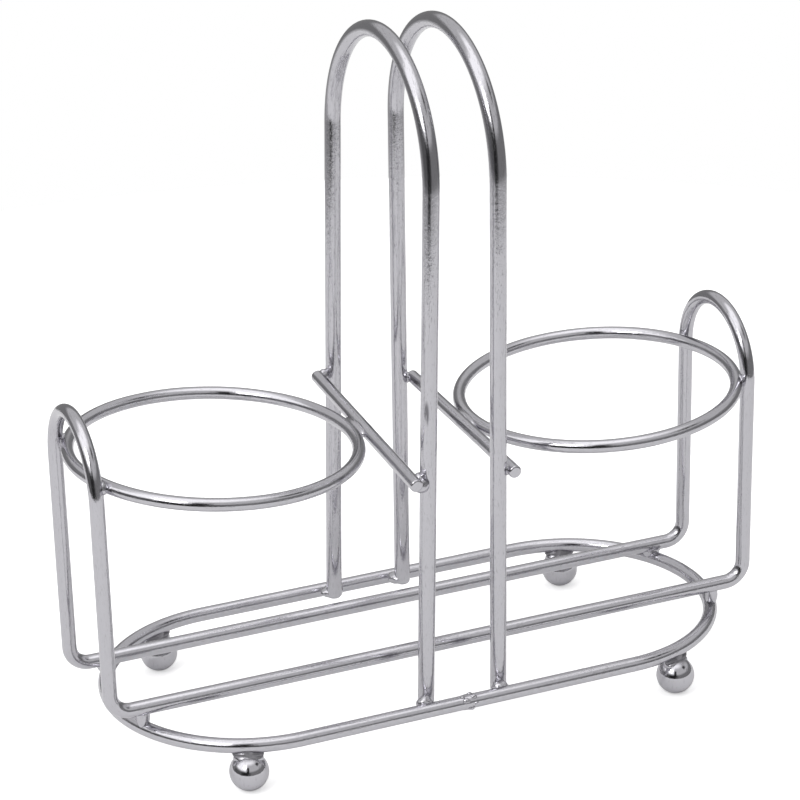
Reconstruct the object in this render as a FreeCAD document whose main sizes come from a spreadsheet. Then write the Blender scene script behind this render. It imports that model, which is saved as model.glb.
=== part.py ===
"""Wire caddy for a salt and a pepper shaker.

Bright plated wire on four ball feet. A closed base ring carries a frame wire, whose two rails turn up
into a hairpin at each end, and two tall bows that make the handle. Each bow carries a crossbar, and a
hoop for one shaker sits between each crossbar and the hairpin at its end.

Frame: X along the length, Y to the rear, Z up. The origin is on the ground at the middle of the base.
All sizes are millimetres and degrees.
"""
import FreeCAD, Part
import os
import Sketcher
from FreeCAD import Placement, Rotation, Vector

# Driving dimensions: alias, value, what it is
DIMENSIONS = [
    ("base_wire", 3.6, "diameter of the base ring wire"),
    ("base_half_length", 79.4, "middle of the base ring to its wire's centre line, along X"),
    ("bow_gap", 1.9, "base ring to the bow legs inside it, filled by the nuggets"),
    ("base_seam_offset", -1.0, "X of the butt weld on the front side"),
    ("base_seam_swell", 0.22, "how far the butt weld stands proud of the wire"),
    ("foot_diameter", 9.5, "ball feet"),
    ("foot_neck_diameter", 6.6, "welded neck between a ball and the base ring"),
    ("foot_neck_height", 0.3, "top of a ball to the underside of the base ring"),
    ("foot_angle", 68.7, "place of a foot on the round end, from the X axis"),
    ("frame_wire_diameter", 3.6, "diameter of the rails, end legs and hairpins"),
    ("rail_gap_front", 2.8, "base ring to the underside of the front rail, filled by the beads"),
    ("rail_gap_rear", 0.15, "the same for the rear rail, whose legs reach further down"),
    ("hairpin_half_width", 16.3, "middle to the centre line of a rail and of an end leg"),
    ("hairpin_top", 88.5, "ground to the centre line at the top of a hairpin"),
    ("elbow_bend", 5.0, "centre line radius from a rail up into an end leg"),
    ("bow_wire", 4.0, "diameter of the handle bows"),
    ("bow_half_width", 30.0, "middle to the centre line of a bow leg"),
    ("bow_top", 169.8, "ground to the centre line at the top of a bow, before it leans"),
    ("bow_offset", 9.6, "middle to a bow's foot, along X"),
    ("bow_tilt_left", 1.65, "left bow leans in to the middle"),
    ("bow_tilt_right", -0.5, "the same for the right bow, which leans out a little"),
    ("bow_foot_drop", 2.1, "front bow feet reach this far below the base ring's centre line"),
    ("bow_foot_rise", 0.3, "rear bow feet end this far above it"),
    ("bow_end_round", 0.9, "rounding of the bow feet"),
    ("bar_wire", 3.2, "diameter of the crossbars"),
    ("bar_height_left", 72.2, "ground to the left crossbar's centre line, at its middle"),
    ("bar_height_right", 68.9, "the same for the right crossbar"),
    ("bar_tilt_left", 3.8, "left crossbar falls to the front"),
    ("bar_tilt_right", 1.3, "the same for the right crossbar"),
    ("bar_gap_left", 0.75, "left bow's legs to their crossbar, filled by the nuggets"),
    ("bar_front_reach_left", 3.6, "crossbar end past the front leg's centre line"),
    ("bar_front_reach_right", 2.5, "the same for the right crossbar"),
    ("bar_rear_reach", 0.2, "crossbar ends past the rear legs' centre lines"),
    ("bar_end_chamfer", 0.5, "broken edge on the crossbar ends"),
    ("hoop_wire", 3.2, "diameter of the shaker hoops' wire"),
    ("hoop_radius", 34.55, "centre line radius of the shaker hoops"),
    ("hoop_tilt", 3.3, "hoops rise towards the ends"),
    ("hoop_shift", 0.25, "hoops sit this much further out than halfway between their contacts"),
    ("set_down", 0.16, "how deep two welded wires are pressed into each other"),
    ("rail_bead_diameter_front", 3.8, "beads under the front rail"),
    ("rail_bead_diameter_rear", 4.6, "the same for the rear rail"),
    ("bow_nugget_diameter", 4.8, "nuggets between a bow foot and the base ring"),
    ("bow_nugget_rise", 0.7, "middle of a nugget above the base ring's centre line"),
    ("bar_nugget_diameter", 3.0, "stubs of weld metal from a bow leg to its crossbar"),
    ("hoop_weld_length", 7.0, "fillet between a crossbar and its hoop, without its round ends"),
    ("hoop_weld_height", 3.8, "height of that fillet"),
    ("hoop_nugget_diameter", 4.6, "nuggets where a hoop meets an end leg"),
]

doc = FreeCAD.newDocument("caddy")
sheet = doc.addObject("Spreadsheet::Sheet", "sizes")
for row, (alias, value, note) in enumerate(DIMENSIONS, start=1):
    sheet.set(f"A{row}", alias)
    sheet.set(f"B{row}", str(value))
    sheet.set(f"C{row}", note)
    sheet.setAlias(f"B{row}", alias)
doc.recompute()

# Derived places, written as formulas on the sheet's cells
BASE_R = "sizes.base_wire / 2"
FRAME_R = "sizes.frame_wire_diameter / 2"
BOW_R = "sizes.bow_wire / 2"
BAR_R = "sizes.bar_wire / 2"
HOOP_R = "sizes.hoop_wire / 2"
BASE_Z = f"(sizes.foot_diameter + sizes.foot_neck_height + {BASE_R})"
BASE_Y = f"(sizes.bow_half_width + {BOW_R} + sizes.bow_gap + {BASE_R})"
BASE_END_X = f"(sizes.base_half_length - {BASE_Y})"
HAIRPIN_SPRING_Z = "(sizes.hairpin_top - sizes.hairpin_half_width)"
FOOT_X = f"({BASE_END_X} + {BASE_Y} * cos(sizes.foot_angle))"
FOOT_Y = f"({BASE_Y} * sin(sizes.foot_angle))"
CROSSING_X = f"({BASE_END_X} + sqrt({BASE_Y} ^ 2 - sizes.hairpin_half_width ^ 2))"

SIDES = (("left", -1), ("right", 1))
ENDS = (("front", -1), ("rear", 1))


def rail_z(end):
    """Height of a rail's centre line."""
    return f"({BASE_Z} + {BASE_R} + sizes.rail_gap_{end} + {FRAME_R})"


# From the skin of a bow's legs out to the skin of its crossbar: the right one is pressed in
BAR_GAP = {"left": "sizes.bar_gap_left", "right": "(-sizes.set_down)"}


def bar_x(side):
    """Distance of a crossbar's centre line from the middle: it lies along the outside of its bow."""
    bow_at_bar = (f"sizes.bow_offset - (sizes.bar_height_{side} - {BASE_Z})"
                  f" * tan(sizes.bow_tilt_{side})")
    return f"({bow_at_bar} + ({BOW_R} + {BAR_R}) / cos(sizes.bow_tilt_{side}) + {BAR_GAP[side]})"


def hoop_touch(side):
    """Distance of a hoop's centre from the middle when the hoop only just meets its crossbar."""
    return f"({bar_x(side)} + {BAR_R} + {HOOP_R} + sizes.hoop_radius * cos(sizes.hoop_tilt))"


# From a hoop's centre out to the end legs that it only just meets
LEG_STEP = (f"(sqrt((sizes.hoop_radius + {HOOP_R} + {FRAME_R}) ^ 2 - sizes.hairpin_half_width ^ 2)"
            " * cos(sizes.hoop_tilt))")
# End legs: as far out on both sides, so that the hoops fit in between on average
LEG_X = f"(({hoop_touch('left')} + {hoop_touch('right')}) / 2 + {LEG_STEP} - sizes.set_down)"


def hoop_x(side):
    """Distance of a hoop's centre from the middle: about halfway between its two contacts."""
    return f"(({hoop_touch(side)} + {LEG_X} - {LEG_STEP}) / 2 + sizes.hoop_shift)"


def hoop_z(side):
    """Height of a hoop's centre: its inner side lies level with the crossbar."""
    return f"(sizes.bar_height_{side} + sizes.hoop_radius * sin(sizes.hoop_tilt))"


def leg_contact_z(side):
    """Height at which a hoop meets the end legs."""
    return f"({hoop_z(side)} + {LEG_STEP} * tan(sizes.hoop_tilt))"


def size(alias):
    """A driving dimension's value, for the first outline of a sketch."""
    return float(sheet.get(alias))


def bind(item, **formulas):
    """Tie an object's properties to the sheet; x, y and z set its place."""
    places = {"x": "Placement.Base.x", "y": "Placement.Base.y", "z": "Placement.Base.z"}
    for name, formula in formulas.items():
        item.setExpression(places.get(name, name), formula)
    return item


ALONG_X = Rotation(Vector(0, 1, 0), 90)
ALONG_Y = Rotation(Vector(1, 0, 0), -90)
ALONG_Z = Rotation()


def run(name, turn, diameter, length, **place):
    """A straight stretch of round wire, starting at its place and laid along its turned Z axis."""
    item = doc.addObject("Part::Cylinder", name)
    item.Placement = Placement(Vector(), turn)
    return bind(item, Radius=f"{diameter} / 2", Height=length, **place)


def bend(name, turn, diameter, radius, sweep, **place):
    """A bent stretch of round wire: it sweeps from the turned X axis about the turned Z axis."""
    item = doc.addObject("Part::Torus", name)
    item.Placement = Placement(Vector(), turn)
    item.Angle3 = sweep
    return bind(item, Radius1=radius, Radius2=f"{diameter} / 2", **place)


def ball(name, diameter, turn=ALONG_Z, **place):
    """A round bead, its poles on its turned Z axis."""
    item = doc.addObject("Part::Sphere", name)
    item.Placement = Placement(Vector(), turn)
    return bind(item, Radius=f"{diameter} / 2", **place)


def joined(name, pieces):
    """One solid from stretches that meet face to face."""
    item = doc.addObject("Part::MultiFuse", name)
    item.Shapes = pieces
    return item


def group(name, pieces):
    """Separate solids kept together."""
    item = doc.addObject("Part::Compound", name)
    item.Links = pieces
    return item


def saddled(name, piece, mates):
    """A piece with the shapes of its mates pressed into it."""
    item = doc.addObject("Part::Cut", name)
    item.Base = piece
    item.Tool = mates[0] if len(mates) == 1 else group(f"{name}_mates", mates)
    return item


def origin_plane(body, role):
    """One of a body's own origin planes."""
    return next(item for item in body.Origin.OriginFeatures if item.Role == role)


def sketch_on(body, name, role):
    """A sketch lying flat on one of the body's origin planes."""
    sketch = body.newObject("Sketcher::SketchObject", name)
    sketch.AttachmentSupport = [(origin_plane(body, role), "")]
    sketch.MapMode = "FlatFace"
    return sketch


def hold(sketch, name, formula, *where):
    """Add a dimension to a sketch and tie it to the sheet."""
    index = sketch.addConstraint(Sketcher.Constraint(*where))
    sketch.renameConstraint(index, name)
    sketch.setExpression(f"Constraints.{name}", formula)


# Point positions of a sketch element, as the sketcher counts them
START, END, CENTRE = range(1, 4)


def rims(feature):
    """Names of a wire's round end edges."""
    return [f"Edge{number}" for number, edge in enumerate(feature.Shape.Edges, start=1)
            if isinstance(edge.Curve, Part.Circle) and len(edge.Vertexes) == 1
            and edge.Curve.Radius < 5 and len(feature.Shape.ancestorsOfType(edge, Part.Face)) == 2
            and any(isinstance(face.Surface, Part.Plane)
                    for face in feature.Shape.ancestorsOfType(edge, Part.Face))]


def make_base_ring():
    """Two straight sides and two round ends, with the butt weld standing slightly proud."""
    wire = "sizes.base_wire"
    pieces = []
    for end, sign in ENDS:
        pieces.append(run(f"base_side_{end}", ALONG_X, wire, f"2 * {BASE_END_X}",
                          x=f"-{BASE_END_X}", y=f"{sign} * {BASE_Y}", z=BASE_Z))
    for side, sign in SIDES:
        turn = Rotation(Vector(0, 0, 1), -90 * sign)
        pieces.append(bend(f"base_end_{side}", turn, wire, BASE_Y, 180,
                           x=f"{sign} * {BASE_END_X}", z=BASE_Z))
    pieces.append(ball("base_seam", f"({wire} + 2 * sizes.base_seam_swell)", ALONG_X,
                       x="sizes.base_seam_offset", y=f"-{BASE_Y}", z=BASE_Z))
    return joined("base_ring", pieces)


def make_frame_wire():
    """Two rails, four elbows, four end legs and a hairpin over each end, all one wire."""
    wire = "sizes.frame_wire_diameter"
    elbow = "sizes.elbow_bend"
    width = "sizes.hairpin_half_width"
    pieces = []
    for end, y_sign in ENDS:
        y = f"{y_sign} * {width}"
        pieces.append(run(f"rail_{end}", ALONG_X, wire, f"2 * ({LEG_X} - {elbow})",
                          x=f"{elbow} - {LEG_X}", y=y, z=rail_z(end)))
        for side, x_sign in SIDES:
            # The torus lies in the XZ plane and sweeps the quarter from below to the outside
            lie = Rotation(Vector(1, 0, 0), 90)
            turn = lie.multiply(Rotation(Vector(0, 0, 1), -90 if x_sign > 0 else 180))
            pieces.append(bend(f"elbow_{end}_{side}", turn, wire, elbow, 90,
                               x=f"{x_sign} * ({LEG_X} - {elbow})", y=y, z=f"{rail_z(end)} + {elbow}"))
            pieces.append(run(f"end_leg_{end}_{side}", ALONG_Z, wire,
                              f"{HAIRPIN_SPRING_Z} - {rail_z(end)} - {elbow}",
                              x=f"{x_sign} * {LEG_X}", y=y, z=f"{rail_z(end)} + {elbow}"))
    for side, x_sign in SIDES:
        # The torus stands in the YZ plane and sweeps the upper half
        stand = Rotation(Vector(0, 0, 1), 90).multiply(Rotation(Vector(1, 0, 0), 90))
        pieces.append(bend(f"hairpin_{side}", stand, wire, width, 180,
                           x=f"{x_sign} * {LEG_X}", z=HAIRPIN_SPRING_Z))
    return joined("frame_wire", pieces)


def make_bow(side, sign):
    """An inverted U of round wire, its ends rounded over, leaning in about its feet."""
    name = f"handle_bow_{side}"
    body = doc.addObject("PartDesign::Body", name)
    spine = sketch_on(body, f"{name}_line", "YZ_Plane")
    half, low, rear_low = size("bow_half_width"), -size("bow_foot_drop"), size("bow_foot_rise")
    spring = size("bow_top") - half
    left = spine.addGeometry(Part.LineSegment(Vector(-half, low, 0), Vector(-half, spring, 0)))
    arc = spine.addGeometry(Part.ArcOfCircle(Part.Circle(Vector(0, spring, 0), Vector(0, 0, 1), half),
                                             0.0, 3.141592653589793))
    right = spine.addGeometry(Part.LineSegment(Vector(half, spring, 0), Vector(half, rear_low, 0)))
    spine.addConstraint([
        Sketcher.Constraint("Vertical", left),
        Sketcher.Constraint("Vertical", right),
        Sketcher.Constraint("Tangent", left, END, arc, END),
        Sketcher.Constraint("Tangent", arc, START, right, START),
        Sketcher.Constraint("PointOnObject", arc, CENTRE, -2),
    ])
    hold(spine, "half_width", "sizes.bow_half_width", "Radius", arc, half)
    hold(spine, "drop", "sizes.bow_foot_drop", "DistanceY", left, START, -1, 1, -low)
    hold(spine, "rise", "sizes.bow_foot_rise", "DistanceY", -1, 1, right, END, rear_low)
    hold(spine, "spring", f"sizes.bow_top - {BASE_Z} - sizes.bow_half_width",
         "DistanceY", -1, 1, arc, CENTRE, spring)
    section = sketch_on(body, f"{name}_section", "XY_Plane")
    section.AttachmentOffset = Placement(Vector(0, 0, low), Rotation())
    section.setExpression("AttachmentOffset.Base.z", "-sizes.bow_foot_drop")
    circle = section.addGeometry(Part.Circle(Vector(0, -half, 0), Vector(0, 0, 1), size("bow_wire") / 2))
    section.addConstraint(Sketcher.Constraint("PointOnObject", circle, CENTRE, -2))
    hold(section, "wire", BOW_R, "Radius", circle, size("bow_wire") / 2)
    hold(section, "place", "sizes.bow_half_width", "DistanceY", circle, CENTRE, -1, 1, half)
    doc.recompute()
    pipe = body.newObject("PartDesign::AdditivePipe", f"{name}_wire")
    pipe.Profile = section
    pipe.Spine = (spine, ["Edge1", "Edge2", "Edge3"])
    doc.recompute()
    nubs = body.newObject("PartDesign::Fillet", f"{name}_nubs")
    nubs.Base = (pipe, rims(pipe))
    nubs.setExpression("Radius", "sizes.bow_end_round")
    body.Placement = Placement(Vector(), Rotation(Vector(0, -sign, 0), 0))
    bind(body, x=f"{sign} * sizes.bow_offset", z=BASE_Z)
    body.setExpression("Placement.Rotation.Angle", f"sizes.bow_tilt_{side}")
    return body


def make_bar(side, sign, bow):
    """A straight wire across the outside of one bow, saddled where it would be pressed into the legs."""
    body = doc.addObject("PartDesign::Body", f"bar_{side}")
    section = sketch_on(body, f"bar_{side}_section", "XZ_Plane")
    circle = section.addGeometry(Part.Circle(Vector(), Vector(0, 0, 1), size("bar_wire") / 2))
    section.addConstraint(Sketcher.Constraint("Coincident", circle, CENTRE, -1, 1))
    hold(section, "wire", BAR_R, "Radius", circle, size("bar_wire") / 2)
    pad = body.newObject("PartDesign::Pad", f"bar_{side}_length")
    pad.Profile = section
    pad.setExpression("Length", f"2 * sizes.bow_half_width + sizes.bar_front_reach_{side}"
                                " + sizes.bar_rear_reach")
    doc.recompute()
    broken = body.newObject("PartDesign::Chamfer", f"bar_{side}_ends")
    broken.Base = (pad, rims(pad))
    broken.setExpression("Size", "sizes.bar_end_chamfer")
    rear = "(sizes.bow_half_width + sizes.bar_rear_reach)"
    body.Placement = Placement(Vector(), Rotation(Vector(1, 0, 0), 0))
    bind(body, x=f"{sign} * {bar_x(side)}", y=f"{rear} * cos(sizes.bar_tilt_{side})",
         z=f"sizes.bar_height_{side} + {rear} * sin(sizes.bar_tilt_{side})")
    body.setExpression("Placement.Rotation.Angle", f"sizes.bar_tilt_{side}")
    return saddled(f"crossbar_{side}", body, [bow])


def make_hoop(side, sign, bar, frame):
    """A closed hoop of round wire, saddled at its crossbar and at the two end legs."""
    body = doc.addObject("PartDesign::Body", f"hoop_{side}")
    section = sketch_on(body, f"hoop_{side}_section", "XZ_Plane")
    reach, thick = size("hoop_radius"), size("hoop_wire") / 2
    circle = section.addGeometry(Part.Circle(Vector(reach, 0, 0), Vector(0, 0, 1), thick))
    section.addConstraint(Sketcher.Constraint("PointOnObject", circle, CENTRE, -1))
    hold(section, "wire", HOOP_R, "Radius", circle, thick)
    hold(section, "hoop", "sizes.hoop_radius", "DistanceX", -1, 1, circle, CENTRE, reach)
    turned = body.newObject("PartDesign::Revolution", f"hoop_{side}_ring")
    turned.Profile = section
    turned.ReferenceAxis = (section, ["V_Axis"])
    turned.Angle = 360.0
    body.Placement = Placement(Vector(), Rotation(Vector(0, -sign, 0), 0))
    bind(body, x=f"{sign} * {hoop_x(side)}", z=hoop_z(side))
    body.setExpression("Placement.Rotation.Angle", "sizes.hoop_tilt")
    return saddled(f"shaker_ring_{side}", body, [bar, frame])


def make_foot(end, y_sign, side, x_sign, base):
    """A ball with its welded neck, turned about its own axis and fitted up round the base ring."""
    name = f"foot_{end}_{side}"
    body = doc.addObject("PartDesign::Body", f"{name}_ball")
    profile = sketch_on(body, f"{name}_profile", "XZ_Plane")
    radius, neck = size("foot_diameter") / 2, size("foot_neck_diameter") / 2
    top = radius + size("foot_neck_height") + size("base_wire") / 4
    shoulder = (radius ** 2 - neck ** 2) ** 0.5
    low, high = Vector(0, -radius, 0), Vector(neck, shoulder, 0)
    arc = profile.addGeometry(Part.Arc(low, Vector(radius, 0, 0), high))
    side_line = profile.addGeometry(Part.LineSegment(high, Vector(neck, top, 0)))
    top_line = profile.addGeometry(Part.LineSegment(Vector(neck, top, 0), Vector(0, top, 0)))
    axis_line = profile.addGeometry(Part.LineSegment(Vector(0, top, 0), low))
    profile.addConstraint([
        Sketcher.Constraint("Coincident", arc, END, side_line, START),
        Sketcher.Constraint("Coincident", side_line, END, top_line, START),
        Sketcher.Constraint("Coincident", top_line, END, axis_line, START),
        Sketcher.Constraint("Coincident", axis_line, END, arc, START),
        Sketcher.Constraint("Coincident", arc, CENTRE, -1, 1),
        Sketcher.Constraint("Vertical", side_line),
        Sketcher.Constraint("Horizontal", top_line),
        Sketcher.Constraint("PointOnObject", axis_line, START, -2),
        Sketcher.Constraint("PointOnObject", axis_line, END, -2),
    ])
    hold(profile, "ball", "sizes.foot_diameter / 2", "Radius", arc, radius)
    hold(profile, "neck", "sizes.foot_neck_diameter / 2", "DistanceX", -1, 1, side_line, END, neck)
    hold(profile, "top", f"sizes.foot_diameter / 2 + sizes.foot_neck_height + {BASE_R} / 2",
         "DistanceY", -1, 1, side_line, END, top)
    turned = body.newObject("PartDesign::Revolution", f"{name}_turned")
    turned.Profile = profile
    turned.ReferenceAxis = (profile, ["V_Axis"])
    turned.Angle = 360.0
    bind(body, x=f"{x_sign} * {FOOT_X}", y=f"{y_sign} * {FOOT_Y}", z="sizes.foot_diameter / 2")
    return saddled(name, body, [base])


def make_rail_welds(base, frame):
    """Four upright beads between the base ring's round ends and the rails above them."""
    beads = []
    for end, y_sign in ENDS:
        for side, x_sign in SIDES:
            beads.append(run(f"rail_bead_{end}_{side}", ALONG_Z, f"sizes.rail_bead_diameter_{end}",
                             f"{rail_z(end)} - {BASE_Z}", x=f"{x_sign} * {CROSSING_X}",
                             y=f"{y_sign} * sizes.hairpin_half_width", z=BASE_Z))
    return saddled("rail_welds", group("rail_beads", beads), [base, frame])


def make_bow_welds(base, bows):
    """Four nuggets that fill the gap between the bow feet and the straight sides of the base ring."""
    middle = f"(sizes.bow_half_width + {BOW_R} + sizes.bow_gap / 2)"
    beads = []
    for end, y_sign in ENDS:
        for side, x_sign in SIDES:
            beads.append(ball(f"bow_nugget_{end}_{side}", "sizes.bow_nugget_diameter",
                              x=f"{x_sign} * sizes.bow_offset", y=f"{y_sign} * {middle}",
                              z=f"{BASE_Z} + sizes.bow_nugget_rise"))
    return saddled("bow_welds", group("bow_nuggets", beads), [base, *bows])


def make_bar_welds(bars, bows):
    """Four nuggets where the crossbars pass the legs of their bows."""
    beads = []
    for side, x_sign in SIDES:
        length = f"({BOW_R} + {BAR_R} + {BAR_GAP[side]})"
        for end, y_sign in ENDS:
            beads.append(run(f"bar_nugget_{end}_{side}", ALONG_X, "sizes.bar_nugget_diameter", length,
                             x=f"{x_sign} * ({bar_x(side)} - {length} / 2) - {length} / 2",
                             y=f"{y_sign} * sizes.bow_half_width",
                             z=f"sizes.bar_height_{side}"
                               f" + {y_sign} * sizes.bow_half_width * tan(sizes.bar_tilt_{side})"))
    return saddled("crossbar_welds", group("bar_nuggets", beads), [*bars, *bows])


def make_hoop_welds(bars, hoops, frame):
    """A long fillet between each hoop and its crossbar, and a nugget at each end leg."""
    pieces = []
    for (side, x_sign), bar, hoop in zip(SIDES, bars, hoops):
        hoop_inside = f"({hoop_x(side)} - sizes.hoop_radius * cos(sizes.hoop_tilt))"
        place = {"x": f"{x_sign} * ({bar_x(side)} + {hoop_inside}) / 2", "z": f"sizes.bar_height_{side}"}
        ends = [ball(f"hoop_fillet_{side}_{end}", "sizes.hoop_weld_height", ALONG_Y,
                     y=f"{y_sign} * sizes.hoop_weld_length / 2", **place) for end, y_sign in ENDS]
        middle = run(f"hoop_fillet_{side}_middle", ALONG_Y, "sizes.hoop_weld_height",
                     "sizes.hoop_weld_length", y="-sizes.hoop_weld_length / 2", **place)
        fillet = joined(f"hoop_fillet_{side}_whole", [middle, *ends])
        pieces.append(saddled(f"hoop_fillet_{side}", fillet, [bar, hoop]))
        share = f"sizes.hoop_radius / (sizes.hoop_radius + {HOOP_R} + {FRAME_R})"
        for end, y_sign in ENDS:
            bead = ball(f"leg_nugget_{end}_{side}_whole", "sizes.hoop_nugget_diameter",
                        x=f"{x_sign} * ({hoop_x(side)} + ({LEG_X} - {hoop_x(side)}) * (1 + {share}) / 2)",
                        y=f"{y_sign} * sizes.hairpin_half_width * (1 + {share}) / 2",
                        z=leg_contact_z(side))
            pieces.append(saddled(f"leg_nugget_{end}_{side}", bead, [hoop, frame]))
    return group("ring_welds", pieces)


base_ring = make_base_ring()
frame_wire = make_frame_wire()
nodes = [base_ring, frame_wire]
bows, bars, hoops = [], [], []
for side, sign in SIDES:
    bows.append(make_bow(side, sign))
    bars.append(make_bar(side, sign, bows[-1]))
    hoops.append(make_hoop(side, sign, bars[-1], frame_wire))
nodes += bows + bars + hoops
for end, y_sign in ENDS:
    for side, x_sign in SIDES:
        nodes.append(make_foot(end, y_sign, side, x_sign, base_ring))
nodes.append(make_rail_welds(base_ring, frame_wire))
nodes.append(make_bow_welds(base_ring, bows))
nodes.append(make_bar_welds(bars, bows))
nodes.append(make_hoop_welds(bars, hoops, frame_wire))
doc.recompute()

for item in doc.Objects:
    if "Invalid" in item.State or "Error" in item.State:
        raise RuntimeError(f"{item.Label} failed: {item.State}")
for node in nodes:
    if node.Shape.isNull() or not node.Shape.isValid():
        raise RuntimeError(f"{node.Label} has no valid shape")

os.makedirs("parts", exist_ok=True)
for node in nodes:
    node.Shape.exportStep(f"parts/{node.Label}.step")
    print(f"{node.Label}: {len(node.Shape.Solids)} solids, {node.Shape.Volume:.2f} mm3")
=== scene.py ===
"""Bright plated wire caddy: its dressed pieces, finishes, studio and camera.

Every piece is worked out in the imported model's own frame, X along the length, Y to the rear and Z up,
with the origin on the ground at the middle of the base. Sizes are in millimetres until a mesh is made.
"""

import logging
from dataclasses import dataclass, field
from enum import Enum
from typing import Any, Iterable, Optional, Union

import bpy
import numpy as np
from mathutils import Matrix

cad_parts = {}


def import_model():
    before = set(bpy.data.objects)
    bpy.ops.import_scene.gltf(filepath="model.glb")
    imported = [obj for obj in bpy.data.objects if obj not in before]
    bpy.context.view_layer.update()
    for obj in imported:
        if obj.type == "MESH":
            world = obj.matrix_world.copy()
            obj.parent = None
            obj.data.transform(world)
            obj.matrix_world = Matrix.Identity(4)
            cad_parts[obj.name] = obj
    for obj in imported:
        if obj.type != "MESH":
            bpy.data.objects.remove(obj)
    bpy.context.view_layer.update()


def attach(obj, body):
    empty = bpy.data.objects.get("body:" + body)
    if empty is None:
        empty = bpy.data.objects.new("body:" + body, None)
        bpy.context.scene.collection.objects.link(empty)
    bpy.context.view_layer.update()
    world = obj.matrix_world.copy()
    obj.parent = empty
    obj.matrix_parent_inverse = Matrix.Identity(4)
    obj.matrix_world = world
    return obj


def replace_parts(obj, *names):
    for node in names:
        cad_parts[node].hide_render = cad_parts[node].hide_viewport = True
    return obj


log = logging.getLogger("caddy")

MM = 0.001
DEGREES = float(np.degrees(1))
Array = np.ndarray


class Side(Enum):
    """The two hoop ends of the caddy, as signs along X."""

    LEFT = -1
    RIGHT = 1

    @property
    def word(self) -> str:
        """The side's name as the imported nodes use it."""
        return self.name.lower()


class End(Enum):
    """Front and rear of the caddy, as signs along Y."""

    FRONT = -1
    REAR = 1

    @property
    def word(self) -> str:
        """The end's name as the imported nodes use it."""
        return self.name.lower()


class Slot(Enum):
    """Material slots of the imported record."""

    WIRE = "plated_wire"
    BALL = "plated_ball"
    WELD = "plated_weld"


def unit(*parts: float) -> Array:
    """A direction scaled to length one."""
    vector = np.array(parts, float)
    return vector / np.linalg.norm(vector)


@dataclass(frozen=True)
class Plan:
    """Sizes of the caddy in millimetres and degrees, and the places that follow from them."""

    base_wire: float = 3.6
    base_half_length: float = 79.4
    base_half_width: float = 35.7
    base_seam_x: float = -1.0
    foot_diameter: float = 9.5
    foot_neck: float = 6.6
    foot_neck_height: float = 0.3
    foot_angle: float = 68.7
    frame_wire: float = 3.6
    rail_gap: tuple[float, float] = (2.8, 0.15)
    hairpin_half_width: float = 16.3
    hairpin_top: float = 88.5
    elbow_bend: float = 5.0
    bow_wire: float = 4.0
    bow_half_width: float = 30.0
    bow_top: float = 169.8
    bow_offset: float = 9.6
    bow_lean: tuple[float, float] = (1.65, -0.5)
    bow_foot_drop: float = 2.1
    bow_foot_rise: float = 0.3
    bow_end_round: float = 0.9
    bar_wire: float = 3.2
    bar_height: tuple[float, float] = (72.2, 68.9)
    bar_fall: tuple[float, float] = (3.8, 1.3)
    bar_gap: tuple[float, float] = (0.75, -0.16)
    bar_front_reach: tuple[float, float] = (3.6, 2.5)
    bar_rear_reach: float = 0.2
    bar_end_chamfer: float = 0.5
    hoop_wire: float = 3.2
    hoop_radius: float = 34.55
    hoop_tilt: float = 3.3
    hoop_shift: float = 0.25
    set_down: float = 0.16

    @property
    def base_z(self) -> float:
        """Height of the base ring's centre line: ball, neck gap and half a wire."""
        return self.foot_diameter + self.foot_neck_height + self.base_wire / 2

    @property
    def base_end_x(self) -> float:
        """Distance of the round ends' centres from the middle."""
        return self.base_half_length - self.base_half_width

    def rail_z(self, end: End) -> float:
        """Height of the front or the rear rail's centre line."""
        gap = self.rail_gap[0 if end is End.FRONT else 1]
        return self.base_z + self.base_wire / 2 + gap + self.frame_wire / 2

    @property
    def crossing_x(self) -> float:
        """Distance from the middle at which a rail crosses the base ring."""
        return self.base_end_x + (self.base_half_width ** 2 - self.hairpin_half_width ** 2) ** 0.5

    def pick(self, pair: tuple[float, float], side: Side) -> float:
        """The left or the right value of a pair."""
        return pair[0 if side is Side.LEFT else 1]

    def lean(self, side: Side) -> float:
        """A bow's lean towards the middle in radians."""
        return float(np.radians(self.pick(self.bow_lean, side)))

    def bar_z(self, side: Side, y: float = 0.0) -> float:
        """Height of a crossbar's centre line, which falls to the front."""
        slope = np.tan(np.radians(self.pick(self.bar_fall, side)))
        return float(self.pick(self.bar_height, side) + y * slope)

    def bar_x(self, side: Side) -> float:
        """Distance of a crossbar's centre line from the middle: it lies along the outside of its bow."""
        lean = self.lean(side)
        bow = self.bow_offset - (self.bar_z(side) - self.base_z) * np.tan(lean)
        return float(bow + (self.bow_wire + self.bar_wire) / 2 / np.cos(lean) + self.pick(self.bar_gap, side))

    @property
    def leg_step(self) -> float:
        """Distance along X from a hoop's centre to the end legs that it just meets."""
        reach = self.hoop_radius + (self.hoop_wire + self.frame_wire) / 2
        return float((reach ** 2 - self.hairpin_half_width ** 2) ** 0.5 * np.cos(np.radians(self.hoop_tilt)))

    def hoop_touch(self, side: Side) -> float:
        """Distance of a hoop's centre from the middle when it only just meets its crossbar."""
        return float(self.bar_x(side) + (self.bar_wire + self.hoop_wire) / 2
                     + self.hoop_radius * np.cos(np.radians(self.hoop_tilt)))

    @property
    def leg_x(self) -> float:
        """Distance of the end legs from the middle."""
        mean = (self.hoop_touch(Side.LEFT) + self.hoop_touch(Side.RIGHT)) / 2
        return mean + self.leg_step - self.set_down

    def hoop_x(self, side: Side) -> float:
        """Distance of a hoop's centre from the middle: about halfway between its two contacts."""
        return (self.hoop_touch(side) + self.leg_x - self.leg_step) / 2 + self.hoop_shift

    def hoop_z(self, side: Side) -> float:
        """Height of a hoop's centre."""
        return float(self.bar_z(side) + self.hoop_radius * np.sin(np.radians(self.hoop_tilt)))


PLAN = Plan()


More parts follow.
